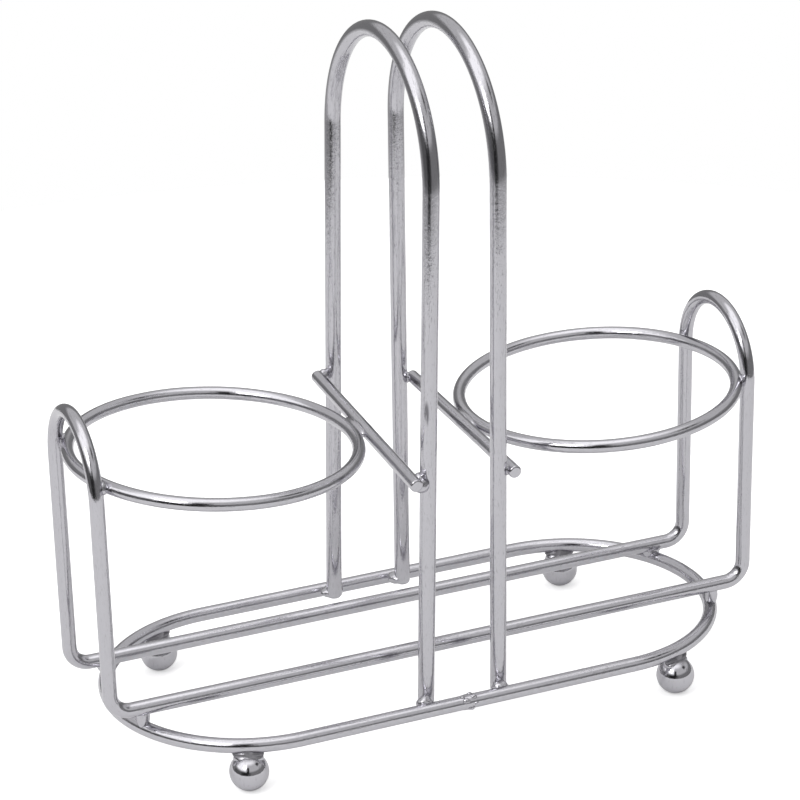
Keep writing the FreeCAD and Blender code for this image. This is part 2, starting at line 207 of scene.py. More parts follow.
@dataclass
class Track:
    """A wire's centre line: points, directions of travel and outward sides, row by row."""

    points: Array
    travel: Array
    side: Array
    closed: bool = False

    @property
    def length(self) -> Array:
        """Distance run from the first point to each point, in millimetres."""
        steps = np.linalg.norm(np.diff(self.points, axis=0), axis=1)
        return np.concatenate([[0.0], np.cumsum(steps)])

    @staticmethod
    def run(start: Array, end: Array, side: Array, step: float = 1.0) -> "Track":
        """A straight stretch: points shared out evenly between its two ends.

        Args:
            start: where it begins.
            end: where it ends.
            side: the outward side, square to the stretch.
            step: the longest spacing of its points.

        Returns:
            The stretch.
        """
        start, end = np.asarray(start, float), np.asarray(end, float)
        span = np.linalg.norm(end - start)
        share = np.linspace(0, 1, max(2, int(np.ceil(span / step)) + 1))[:, None]
        points = start + (end - start) * share
        travel = np.repeat(((end - start) / span)[None], len(points), 0)
        return Track(points, travel, np.repeat(np.asarray(side, float)[None], len(points), 0))

    @staticmethod
    def bend(centre: Array, radius: float, first: Array, onward: Array, sweep: float,
             side: Optional[Array] = None, step: float = 0.7) -> "Track":
        """A bend: centre + radius (cos a first + sin a onward) for a from 0 to the sweep.

        Args:
            centre: the bend's centre.
            radius: its centre line radius.
            first: direction from the centre to its first point.
            onward: direction of travel at its first point.
            sweep: degrees turned.
            side: the outward side where it stays the same; left out, it points away from the centre.
            step: the longest spacing of its points.

        Returns:
            The bend.
        """
        count = max(5, int(np.ceil(radius * np.radians(sweep) / step)) + 1)
        angle = np.radians(np.linspace(0, sweep, count))[:, None]
        out = np.cos(angle) * first + np.sin(angle) * onward
        travel = -np.sin(angle) * first + np.cos(angle) * onward
        sides = out if side is None else np.repeat(np.asarray(side, float)[None], count, 0)
        return Track(np.asarray(centre, float) + radius * out, travel, sides)

    @staticmethod
    def chain(parts: Iterable["Track"], closed: bool = False) -> "Track":
        """Joins stretches end to end and drops the doubled points between them.

        Args:
            parts: the stretches in order of travel.
            closed: whether the last one ends where the first begins.

        Returns:
            The whole centre line, without its last point when it is closed.
        """
        kept = [(part.points[:-1], part.travel[:-1], part.side[:-1]) for part in parts]
        last = list(parts)[-1]
        points, travel, side = (np.concatenate(rows) for rows in zip(*kept))
        if not closed:
            points = np.concatenate([points, last.points[-1:]])
            travel = np.concatenate([travel, last.travel[-1:]])
            side = np.concatenate([side, last.side[-1:]])
        return Track(points, travel, side, closed)


@dataclass
class Skin:
    """A surface on a grid: its points, its faces, and along-and-round coordinates for each corner."""

    points: Array
    faces: list[Array] = field(default_factory=list)
    corners: list[Array] = field(default_factory=list)

    @staticmethod
    def grid(surface: Array, along: Array, closed: bool, poles: Optional[Array] = None) -> "Skin":
        """Faces over a grid whose columns run round the piece.

        Args:
            surface: points by row and column.
            along: distance along the piece of each row, and of the row that closes it.
            closed: whether the last row meets the first.
            poles: the two end points that close an open piece, before the first and after the last row.

        Returns:
            The surface, its faces turned outwards.
        """
        rows, columns = surface.shape[:2]
        spans = rows if closed else rows - 1
        row, column = np.meshgrid(np.arange(spans), np.arange(columns), indexing="ij")
        next_row, next_column = (row + 1) % rows, (column + 1) % columns
        quads = np.stack([row * columns + column, row * columns + next_column,
                          next_row * columns + next_column, next_row * columns + column], -1)
        low, high = along[row], along[row + 1]
        left, right = column / columns, (column + 1) / columns
        uvs = np.stack([np.stack([low, left], -1), np.stack([low, right], -1),
                        np.stack([high, right], -1), np.stack([high, left], -1)], 2)
        points = surface.reshape(-1, 3)
        faces, corners = [quads.reshape(-1, 4)], [uvs.reshape(-1, 4, 2)]
        if poles is not None:
            column = np.arange(columns)
            after = (column + 1) % columns
            first, last = len(points), len(points) + 1
            points = np.concatenate([points, poles])
            base = (rows - 1) * columns
            faces.append(np.stack([np.full(columns, first), after, column], -1))
            faces.append(np.stack([np.full(columns, last), base + column, base + after], -1))
            middle = (column + 0.5) / columns
            for distance in (along[0], along[rows - 1]):
                flat = np.full(columns, distance)
                corners.append(np.stack([np.stack([flat, middle], -1),
                                         np.stack([flat, column / columns], -1),
                                         np.stack([flat, (column + 1) / columns], -1)], 1))
        return Skin(points, faces, corners)

    @staticmethod
    def merged(skins: Iterable["Skin"]) -> "Skin":
        """Several closed surfaces as one."""
        total = Skin(np.zeros((0, 3)))
        for skin in skins:
            start = len(total.points)
            total.points = np.concatenate([total.points, skin.points])
            total.faces += [faces + start for faces in skin.faces]
            total.corners += skin.corners
        return total

    def piece(self, name: str, finish: "Finish") -> bpy.types.Object:
        """Makes the surface a shown piece, in metres, with its finish and its smooth shading.

        Args:
            name: the piece's name.
            finish: what it is finished with.

        Returns:
            The new object, at the origin.
        """
        mesh = bpy.data.meshes.new(name)
        polygons = [polygon for faces in self.faces for polygon in faces.tolist()]
        mesh.from_pydata((self.points * MM).tolist(), [], polygons)
        layer = mesh.uv_layers.new(name="along_round")
        layer.data.foreach_set("uv", np.concatenate([c.reshape(-1) for c in self.corners]))
        mesh.polygons.foreach_set("use_smooth", np.ones(len(mesh.polygons), bool))
        mesh.materials.append(finish.material())
        mesh.validate()
        mesh.update()
        thing = bpy.data.objects.new(name, mesh)
        bpy.context.scene.collection.objects.link(thing)
        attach(thing, "root")
        return thing


@dataclass
class RoundWire:
    """Round wire carried along a track."""

    track: Track
    diameter: float
    columns: int = 40
    end_round: float = 0.6
    wander: float = 0.03
    seed: int = 1
    swells: tuple[tuple[float, float, float], ...] = ()

    def radius(self, along: Array, whole: float, angle: Array) -> Array:
        """Half the diameter, plus a slow wander of the drawn wire and the swells given.

        The wander is a sum of three waves that close on themselves over the wire's length. Each swell
        is a bell curve along the wire: its place, its height and its width.

        Args:
            along: distance of each row from the start.
            whole: the wire's length.
            angle: direction of each column.

        Returns:
            The radius by row and column.
        """
        rng = np.random.default_rng(self.seed)
        turn = 2 * np.pi * along / whole
        waves = sum(np.cos(rows * turn + rng.uniform(0, 6.28))[:, None]
                    * np.cos(columns * angle + rng.uniform(0, 6.28))[None]
                    for rows, columns in ((3, 0), (7, 1), (13, 2)))
        bells = sum((height * np.exp(-((along - place) / width) ** 2)
                     for place, height, width in self.swells),
                    np.zeros_like(along))
        return self.diameter / 2 + self.wander * waves / 3 + bells[:, None]

    def skin(self) -> Skin:
        """Sweeps the section: point + radius (cos v side + sin v (travel x side)).

        A cut end is rounded by a quarter circle: e (1 - cos t) inwards and e (1 - sin t) off the radius.

        Returns:
            The wire's surface, closed at its cut ends.
        """
        track = self.track
        angle = 2 * np.pi * np.arange(self.columns) / self.columns
        along, points = track.length, track.points
        poles = None
        if track.closed:
            whole = along[-1] + float(np.linalg.norm(points[0] - points[-1]))
            take = np.arange(len(points))
            radius = self.radius(along, whole, angle)
            along = np.append(along, whole)
        else:
            whole = float(along[-1])
            turn = np.radians(np.linspace(0, 90, 7))
            inward, trim = self.end_round * (1 - np.cos(turn)), self.end_round * (1 - np.sin(turn))
            inner = np.flatnonzero((along > 1.1 * self.end_round) & (along < whole - 1.1 * self.end_round))
            take = np.concatenate([np.zeros(7, int), inner, np.full(7, len(points) - 1)])
            poles = points[[0, -1]]
            points = np.concatenate([points[:1] + track.travel[:1] * inward[:, None], points[inner],
                                     points[-1:] - track.travel[-1:] * inward[::-1, None]])
            along = np.concatenate([inward, along[inner], whole - inward[::-1]])
            radius = self.radius(along, whole, angle)
            radius -= np.concatenate([trim, np.zeros(len(inner)), trim[::-1]])[:, None]
        travel, side = track.travel[take], track.side[take]
        across = np.cross(travel, side)
        ring = np.cos(angle)[None, :, None] * side[:, None] + np.sin(angle)[None, :, None] * across[:, None]
        return Skin.grid(points[:, None] + radius[:, :, None] * ring, along / 10, track.closed, poles)


@dataclass
class Lump:
    """A small lumpy bead of weld metal: an ellipsoid roughened by a few waves of its direction."""

    centre: Array
    radii: Array
    lumps: float = 0.08
    seed: int = 1
    turn: float = 0.0
    rows: int = 22
    columns: int = 32

    def skin(self) -> Skin:
        """Works out centre + turned(radii * direction * (1 + sum of a cos(f direction.axis + phase))).

        Returns:
            The bead's surface, closed at its two poles.
        """
        rng = np.random.default_rng(self.seed)
        polar = np.pi * (np.arange(self.rows) + 0.6) / (self.rows + 0.2)
        round_ = 2 * np.pi * np.arange(self.columns) / self.columns
        direction = np.stack([np.sin(polar)[:, None] * np.cos(round_)[None],
                              np.sin(polar)[:, None] * np.sin(round_)[None],
                              np.repeat(np.cos(polar)[:, None], self.columns, 1)], -1)
        ends = np.array([[0.0, 0.0, 1.0], [0.0, 0.0, -1.0]])
        axes = rng.normal(size=(7, 3))
        axes /= np.linalg.norm(axes, axis=1)[:, None]
        pitch, phase = rng.uniform(2.0, 7.5, 7), rng.uniform(0, 6.28, 7)

        def swell(way: Array) -> Array:
            """The waves' sum at each direction."""
            return 1 + self.lumps * np.cos(pitch * (way @ axes.T) + phase).sum(-1)[..., None] / 2.6

        cos, sin = np.cos(np.radians(self.turn)), np.sin(np.radians(self.turn))
        turned = np.array([[cos, sin, 0.0], [-sin, cos, 0.0], [0.0, 0.0, 1.0]])
        surface = self.centre + self.radii * direction * swell(direction) @ turned
        poles = self.centre + self.radii * ends * swell(ends) @ turned
        height = np.linspace(0, float(np.max(self.radii)) * 0.3, self.rows + 1)
        # Rows run from the top pole down, so the columns are turned back to keep the faces outward
        return Skin.grid(surface[:, ::-1], height, False, poles)


@dataclass
class Turned:
    """A body turned about an upright axis from a profile of radius and height, lowest point first."""

    axis: tuple[float, float]
    profile: Array
    columns: int = 64

    def skin(self) -> Skin:
        """Turns the profile: (x + r cos v, y + r sin v, z).

        Returns:
            The surface, closed on its axis at both ends.
        """
        round_ = 2 * np.pi * np.arange(self.columns) / self.columns
        radius, height = self.profile[:, 0], self.profile[:, 1]
        surface = np.stack([self.axis[0] + radius[:, None] * np.cos(round_)[None],
                            self.axis[1] + radius[:, None] * np.sin(round_)[None],
                            np.repeat(height[:, None], self.columns, 1)], -1)
        steps = np.hypot(np.diff(radius), np.diff(height))
        along = np.concatenate([[0], np.cumsum(steps), [0]]) / 10
        poles = np.array([[*self.axis, height[0]], [*self.axis, height[-1]]])
        return Skin.grid(surface, along, False, poles)


Number = Union["Value", float, int]


class Value:
    """One number of a shader, on which Python's operators add Math nodes."""

    def __init__(self, graph: "Graph", socket: bpy.types.NodeSocket) -> None:
        """Wraps an output socket of the graph."""
        self.graph, self.socket = graph, socket

    def maths(self, operation: str, *others: Number) -> "Value":
        """Adds one Math node of this number and the others."""
        return self.graph.maths(operation, self, *others)

    def __add__(self, other: Number) -> "Value":
        """Sum."""
        return self.maths("ADD", other)

    __radd__ = __add__

    def __sub__(self, other: Number) -> "Value":
        """Difference."""
        return self.maths("SUBTRACT", other)

    def __rsub__(self, other: Number) -> "Value":
        """Difference from a number."""
        return self.graph.maths("SUBTRACT", other, self)

    def __mul__(self, other: Number) -> "Value":
        """Product."""
        return self.maths("MULTIPLY", other)

    __rmul__ = __mul__

    def __neg__(self) -> "Value":
        """The number turned round."""
        return self * -1

    def cos(self) -> "Value":
        """Cosine."""
        return self.maths("COSINE")

    def sin(self) -> "Value":
        """Sine."""
        return self.maths("SINE")

    def step(self, low: float, high: float) -> "Value":
        """Rises smoothly from 0 at low to 1 at high, or falls where low is the greater."""
        turned = low > high
        node = self.graph.node("ShaderNodeMapRange", {"interpolation_type": "SMOOTHSTEP"},
                               {"Value": self, "From Min": min(low, high), "From Max": max(low, high)})
        rise = Value(self.graph, node.outputs["Result"])
        return 1 - rise if turned else rise


class Graph:
    """The nodes of one material or of the world."""

    def __init__(self, tree: bpy.types.NodeTree) -> None:
        """Starts from an empty tree."""
        self.tree = tree
        tree.nodes.clear()

    def node(self, kind: str, settings: Optional[dict[str, Any]] = None,
             inputs: Optional[dict[Union[str, int], Any]] = None) -> bpy.types.Node:
        """Adds a node of any kind.

        Args:
            kind: the node's type.
            settings: its own properties, set first.
            inputs: what each of its sockets gets, by name or number: a number, a colour or a link.

        Returns:
            The node.
        """
        node = self.tree.nodes.new(kind)
        for name, value in (settings or {}).items():
            setattr(node, name, value)
        for name, value in (inputs or {}).items():
            socket = node.inputs[name]
            source = value.socket if isinstance(value, Value) else value
            if isinstance(source, bpy.types.NodeSocket):
                self.tree.links.new(source, socket)
            else:
                socket.default_value = source
        return node

    def maths(self, operation: str, *numbers: Number) -> Value:
        """Adds one Math node."""
        node = self.node("ShaderNodeMath", {"operation": operation}, dict(enumerate(numbers)))
        return Value(self, node.outputs[0])

    def vector(self, x: Number, y: Number, z: Number) -> bpy.types.NodeSocket:
        """A vector of three numbers."""
        return self.node("ShaderNodeCombineXYZ", None, {0: x, 1: y, 2: z}).outputs[0]

    def split(self, socket: bpy.types.NodeSocket) -> tuple[Value, Value, Value]:
        """The three numbers of a vector."""
        outputs = self.node("ShaderNodeSeparateXYZ", None, {0: socket}).outputs
        return Value(self, outputs[0]), Value(self, outputs[1]), Value(self, outputs[2])

    def noise(self, vector: bpy.types.NodeSocket, scale: float, detail: float = 3.0,
              roughness: float = 0.55) -> Value:
        """Cloudy noise about 0.5 at a place."""
        node = self.node("ShaderNodeTexNoise", None, {"Vector": vector, "Scale": scale, "Detail": detail,
                                                      "Roughness": roughness})
        return Value(self, node.outputs["Fac"])

    def near(self, place: bpy.types.NodeSocket, centre: tuple[float, float, float],
             reach: tuple[float, float, float]) -> Value:
        """An oval spot with a soft edge.

        Args:
            place: the shaded point in metres.
            centre: the spot's middle in millimetres.
            reach: how far it goes along each axis in millimetres.

        Returns:
            1 in the middle and 0 beyond the reach.
        """
        away = self.node("ShaderNodeVectorMath", {"operation": "SUBTRACT"},
                         {0: place, 1: tuple(c * MM for c in centre)}).outputs[0]
        scaled = self.node("ShaderNodeVectorMath", {"operation": "DIVIDE"},
                           {0: away, 1: tuple(r * MM for r in reach)}).outputs[0]
        length = self.node("ShaderNodeVectorMath", {"operation": "LENGTH"}, {0: scaled}).outputs["Value"]
        return Value(self, length).step(1.0, 0.55)

    def blend(self, share: Number, first: Any, second: Any) -> bpy.types.NodeSocket:
        """Mixes two colours."""
        node = self.node("ShaderNodeMix", {"data_type": "RGBA"})
        for socket, value in ((node.inputs[0], share), (node.inputs[6], first), (node.inputs[7], second)):
            source = value.socket if isinstance(value, Value) else value
            if isinstance(source, bpy.types.NodeSocket):
                self.tree.links.new(source, socket)
            else:
                socket.default_value = (*source, 1.0) if isinstance(source, tuple) else source
        return node.outputs[2]


@dataclass(frozen=True)
class Finish:
    """Bright chromium plating: its tint, polish and the marks left in it, and a band of painted shade where one
    is given.
    """

    name: str
    slot: Slot
    tint: tuple[float, float, float] = (0.56, 0.552, 0.585)
    dull_tint: tuple[float, float, float] = (0.40, 0.39, 0.415)
    polish: float = 0.09
    haze: float = 0.10
    lines: float = 0.5
    pits: float = 0.6
    specks: float = 0.5
    lumps: float = 0.0
    scar: Optional[tuple[float, float, float]] = None
    # Heights in mm over which the colour darkens to painted shade, standing in for the wire's dark reflection
    # and shade on a ball's top
    painted_shade_heights: Optional[tuple[float, float]] = None
    # Dark tint for a scar mark, and for the painted shade band
    scar_and_painted_shade_tint: tuple[float, float, float] = (0.20, 0.195, 0.21)

    def places(self, graph: Graph) -> tuple[bpy.types.NodeSocket, bpy.types.NodeSocket]:
        """Object coordinates, and a vector that runs along the wire and round it without a seam."""
        coordinates = graph.node("ShaderNodeTexCoord").outputs["Object"]
        uv = graph.node("ShaderNodeUVMap", {"uv_map": "along_round"}).outputs["UV"]
        along, turn, _ = graph.split(uv)
        angle = turn * (2 * np.pi)
        return coordinates, graph.vector(along, angle.cos(), angle.sin())

    def material(self) -> bpy.types.Material:
        """Builds the plating once and hands it out after that.

        Drawing lines run along the wire, small pits sit in the plating, and a thin haze changes the
        polish from place to place.

        Returns:
            The material.
        """
        known = bpy.data.materials.get(self.name)
        if known is not None:
            return known
        material = bpy.data.materials.new(self.name)
        material.use_nodes = True
        graph = Graph(material.node_tree)
        place, wire = self.places(graph)
        stretched = graph.node("ShaderNodeVectorMath", {"operation": "MULTIPLY"},
                               {0: wire, 1: (0.4, 6.5, 6.5)}).outputs[0]
        speckled = graph.node("ShaderNodeVectorMath", {"operation": "MULTIPLY"},
                              {0: wire, 1: (2.4, 2.6, 2.6)}).outputs[0]
        lines = graph.noise(stretched, 1.0, 4.0, 0.65)
        spots = graph.noise(speckled, 1.6, 3.0, 0.6).step(0.60, 0.72)
        patches = graph.noise(place, 90.0, 2.0).step(0.42, 0.62)
        pits = spots * patches * self.pits
        cloud = graph.noise(place, 240.0, 3.0)
        scarred = None
        if self.scar is not None:
            near = graph.near(place, self.scar, (1.0, 1.0, 4.4))
            streaked = graph.node("ShaderNodeVectorMath", {"operation": "MULTIPLY"},
                                  {0: wire, 1: (0.75, 3.4, 3.4)}).outputs[0]
            scarred = near * graph.noise(streaked, 1.2, 4.0, 0.7).step(0.45, 0.53)
        pits = pits.maths("MINIMUM", 1.0)
        grain = graph.noise(place, 1300.0, 2.0, 0.6)
        pits = pits.maths("MAXIMUM", graph.noise(speckled, 3.0, 2.0, 0.5).step(0.56, 0.74) * self.specks)
        colour = graph.blend(pits, self.tint, self.dull_tint)
        if scarred is not None:
            colour = graph.blend(scarred, colour, self.scar_and_painted_shade_tint)
        rough = self.polish + lines * (0.05 * self.lines) + (cloud - 0.35) * self.haze + pits * 0.16
        # Painted shade: darker and rougher towards the ball's top, under the wire, in place of the wire's
        # reflection and shade
        if self.painted_shade_heights is not None:
            start, full = (value * MM for value in self.painted_shade_heights)
            painted_shade = graph.split(place)[2].step(start, full) * (0.55 + graph.noise(place, 900.0, 3.0) * 0.6)
            colour = graph.blend(painted_shade.maths("MINIMUM", 1.0), colour, self.scar_and_painted_shade_tint)
            rough = rough + painted_shade * 0.34
        height = (lines * (1.1 * self.lines) + cloud * (0.25 + self.lumps) - pits * 0.55
                  + graph.noise(place, 520.0, 2.0) * (0.30 + self.lumps) + grain * 0.34)
        bump = graph.node("ShaderNodeBump", None, {"Strength": 0.35, "Distance": 0.00009, "Height": height})
        shader = graph.node("ShaderNodeBsdfPrincipled", None, {
            "Base Color": colour, "Metallic": 1.0, "Roughness": rough.maths("MAXIMUM", 0.03),
            "Normal": bump.outputs[0]})
        graph.node("ShaderNodeOutputMaterial", None, {"Surface": shader.outputs[0]})
        return material


WIRE = Finish("plating_on_wire", Slot.WIRE)
LEG_WIRE = Finish("plating_on_bow", Slot.WIRE, haze=0.13, pits=0.8, specks=0.7, scar=(-9.0, -31.9, 87.2))
# The ball's top, from 8.3 to 9.3 mm, gets painted shade under the wire
BALL = Finish("plating_on_ball", Slot.BALL, polish=0.07, lines=0.0, pits=0.3, painted_shade_heights=(8.3, 9.3))
WELD = Finish("plating_on_weld", Slot.WELD, polish=0.18, haze=0.12, lines=0.0, pits=0.6, lumps=0.5)


@dataclass
class Base:
    """The closed base ring, its butt weld and the ball feet under its round ends."""

    plan: Plan = PLAN
    seam_width: float = 1.1
    seam_height: float = 0.2

    def ring_track(self) -> Track:
        """Once round the ring, starting at the butt weld on the front side and going towards +X."""
        p = self.plan
        seam = np.array([p.base_seam_x, -p.base_half_width, p.base_z])
        front_right = np.array([p.base_end_x, -p.base_half_width, p.base_z])
        rear_left = np.array([-p.base_end_x, p.base_half_width, p.base_z])
        front, rear = unit(0, -1, 0), unit(0, 1, 0)
        return Track.chain([
            Track.run(seam, front_right, front),
            Track.bend(np.array([p.base_end_x, 0, p.base_z]), p.base_half_width, front, unit(1, 0, 0), 180),
            Track.run(rear_left * [-1, 1, 1], rear_left, rear),
            Track.bend(np.array([-p.base_end_x, 0, p.base_z]), p.base_half_width, rear, unit(-1, 0, 0), 180),
            Track.run(front_right * [-1, 1, 1], seam, front),
        ], closed=True)

    def foot_profile(self) -> Array:
        """A ball's arc up to its neck, and the narrow neck that runs into the wire."""
        p = self.plan
        ball, neck = p.foot_diameter / 2, p.foot_neck / 4
        shoulder = np.arccos(neck / ball)
        sweep = np.linspace(-np.pi / 2 + 0.04, shoulder, 40)
        arc = np.stack([ball * np.cos(sweep), ball + ball * np.sin(sweep)], 1)
        top = np.linspace(arc[-1, 1], p.base_z - 0.6, 5)[1:]
        return np.concatenate([arc, np.stack([np.full(4, neck), top], 1)])

    def foot(self, end: End, side: Side) -> Skin:
        """A ball foot and the saddle of weld metal that spreads along the wire above it.

        Args:
            end: front or rear.
            side: left or right.

        Returns:
            The foot's surface.
        """
        p = self.plan
        angle = np.radians(p.foot_angle)
        x = side.value * (p.base_end_x + p.base_half_width * np.cos(angle))
        y = end.value * p.base_half_width * np.sin(angle)
        run = -side.value * end.value * (90.0 - p.foot_angle)
        seed = 131 + 2 * side.value + end.value
        upper = Lump(np.array([x, y, p.foot_diameter - 0.1]), np.array([3.75, 1.6, 1.25]), 0.04, seed, run)
        lower = Lump(np.array([x, y, p.foot_diameter - 1.3]), np.array([3.7, 2.1, 1.7]), 0.04, seed + 7, run)
        return Skin.merged([Turned((x, y), self.foot_profile()).skin(), upper.skin(), lower.skin()])

    def flash(self) -> list[Skin]:
        """Small beads of metal squeezed out of the butt weld, round the front and top of the wire."""
        p, beads = self.plan, []
        spots = ((-1.0, 38.0, 0.75), (1.1, 62.0, 0.6), (0.2, -28.0, 0.7),
                 (1.5, 5.0, 0.45), (-1.6, 74.0, 0.5), (0.4, 100.0, 0.6))
        for index, (along, round_, size) in enumerate(spots):
            turn = np.radians(round_)
            reach = p.base_wire / 2 - 0.1
            centre = np.array([p.base_seam_x + along, -p.base_half_width - reach * np.cos(turn),
                               p.base_z + reach * np.sin(turn)])
            half = np.array([size * 1.3, size, size])
            beads.append(Lump(centre, half, 0.10, 141 + index, 0.0, 10, 14).skin())
        return beads

    def build(self) -> None:
        """Makes the ring and the four feet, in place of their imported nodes."""
        p = self.plan
        track = self.ring_track()
        whole = track.length[-1] + float(np.linalg.norm(track.points[0] - track.points[-1]))
        swells = ((0.0, self.seam_height, self.seam_width), (whole, self.seam_height, self.seam_width))
        wire = RoundWire(track, p.base_wire, seed=11, swells=swells).skin()
        ring = Skin.merged([wire, *self.flash()]).piece("base_ring_wire", WIRE)
        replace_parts(ring, "base_ring")
        log.info("base ring: %.0f mm of wire", whole)
        for end in End:
            for side in Side:
                foot = self.foot(end, side).piece(f"ball_foot_{end.word}_{side.word}", BALL)
                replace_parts(foot, f"foot_{end.word}_{side.word}")
        log.info("ball feet built")


@dataclass
class FrameWire:
    """The long closed wire: two rails, four elbows, four end legs and two hairpins."""

    plan: Plan = PLAN

    def track(self) -> Track:
        """Once round the wire, starting in the middle of the rear rail and going towards +X."""
        p = self.plan
        x, w, bend = p.leg_x, p.hairpin_half_width, p.elbow_bend
        low, high = {end: p.rail_z(end) for end in End}, p.hairpin_top - p.hairpin_half_width
        up, down = unit(0, 0, 1), unit(0, 0, -1)
        front, rear = unit(0, -1, 0), unit(0, 1, 0)

        def turn(sign: int, first: End, last: End) -> list[Track]:
            """Elbow, leg, hairpin, leg and elbow at one end, coming in along one rail."""
            out, side_in, side_out = unit(sign, 0, 0), unit(0, first.value, 0), unit(0, last.value, 0)
            y_in, y_out, z_in, z_out = w * first.value, w * last.value, low[first] + bend, low[last] + bend
            return [
                Track.bend(np.array([sign * (x - bend), y_in, z_in]), bend, down, out, 90, side_in),
                Track.run(np.array([sign * x, y_in, z_in]), np.array([sign * x, y_in, high]), side_in),
                Track.bend(np.array([sign * x, 0, high]), w, side_in, up, 180),
                Track.run(np.array([sign * x, y_out, high]), np.array([sign * x, y_out, z_out]), side_out),
                Track.bend(np.array([sign * (x - bend), y_out, z_out]), bend, out, down, 90, side_out),
            ]

        z_front, z_rear = low[End.FRONT], low[End.REAR]
        return Track.chain([
            Track.run(np.array([0, w, z_rear]), np.array([x - bend, w, z_rear]), rear),
            *turn(1, End.REAR, End.FRONT),
            Track.run(np.array([x - bend, -w, z_front]), np.array([bend - x, -w, z_front]), front),
            *turn(-1, End.FRONT, End.REAR),
            Track.run(np.array([bend - x, w, z_rear]), np.array([0, w, z_rear]), rear),
        ], closed=True)

    def build(self) -> None:
        """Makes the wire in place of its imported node."""
        skin = RoundWire(self.track(), self.plan.frame_wire, seed=23).skin()
        wire = skin.piece("rail_and_hairpin_wire", WIRE)
        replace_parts(wire, "frame_wire")
        log.info("frame wire: %d rows", len(self.track().points))


@dataclass
class Handle:
    """One bow of the handle with its crossbar."""

    side: Side
    plan: Plan = PLAN

    def bow_track(self) -> Track:
        """Up the front leg, over the round top and down the rear leg, in the leaning plane."""
        p = self.plan
        lean, sign = p.lean(self.side), self.side.value
        foot = np.array([sign * p.bow_offset, 0, p.base_z])
        up = unit(-sign * np.sin(lean), 0, np.cos(lean))
        front, rear = unit(0, -1, 0), unit(0, 1, 0)
        w, spring = p.bow_half_width, p.bow_top - p.base_z - p.bow_half_width
        return Track.chain([
            Track.run(foot - up * p.bow_foot_drop + w * front, foot + up * spring + w * front, front),
            Track.bend(foot + up * spring, w, front, up, 180),
            Track.run(foot + up * spring + w * rear, foot + up * p.bow_foot_rise + w * rear, rear),
        ])

    def bar_track(self) -> Track:
        """The crossbar from its front end to its rear end."""
        p = self.plan
        fall = np.radians(p.pick(p.bar_fall, self.side))
        middle = np.array([self.side.value * p.bar_x(self.side), 0, p.bar_z(self.side)])
        back = unit(0, np.cos(fall), np.sin(fall))
        return Track.run(middle - back * (p.bow_half_width + p.pick(p.bar_front_reach, self.side)),
                         middle + back * (p.bow_half_width + p.bar_rear_reach),
                         unit(0, -np.sin(fall), np.cos(fall)))

    def build(self) -> None:
        """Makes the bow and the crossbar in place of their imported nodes."""
        p, word = self.plan, self.side.word
        bow = RoundWire(self.bow_track(), p.bow_wire, columns=44, end_round=p.bow_end_round,
                        seed=31 + self.side.value)
        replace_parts(bow.skin().piece(f"bow_wire_{word}", LEG_WIRE), f"handle_bow_{word}")
        bar = RoundWire(self.bar_track(), p.bar_wire, end_round=p.bar_end_chamfer, seed=41 + self.side.value)
        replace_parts(bar.skin().piece(f"crossbar_wire_{word}", WIRE), f"crossbar_{word}")
        log.info("%s bow and crossbar", word)


@dataclass
class Hoop:
    """One shaker hoop."""

    side: Side
    plan: Plan = PLAN

    def track(self) -> Track:
        """Once round the tilted hoop, starting at its crossbar."""
        p, sign = self.plan, self.side.value
        tilt = np.radians(p.hoop_tilt)
        out = unit(sign * np.cos(tilt), 0, np.sin(tilt))
        centre = np.array([sign * p.hoop_x(self.side), 0, p.hoop_z(self.side)])
        return Track.chain([Track.bend(centre, p.hoop_radius, -out, unit(0, -1, 0), 360)], closed=True)

    def build(self) -> None:
        """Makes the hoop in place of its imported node."""
        wire = RoundWire(self.track(), self.plan.hoop_wire, seed=51 + self.side.value)
        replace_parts(wire.skin().piece(f"hoop_wire_{self.side.word}", WIRE), f"shaker_ring_{self.side.word}")
        log.info("%s hoop", self.side.word)


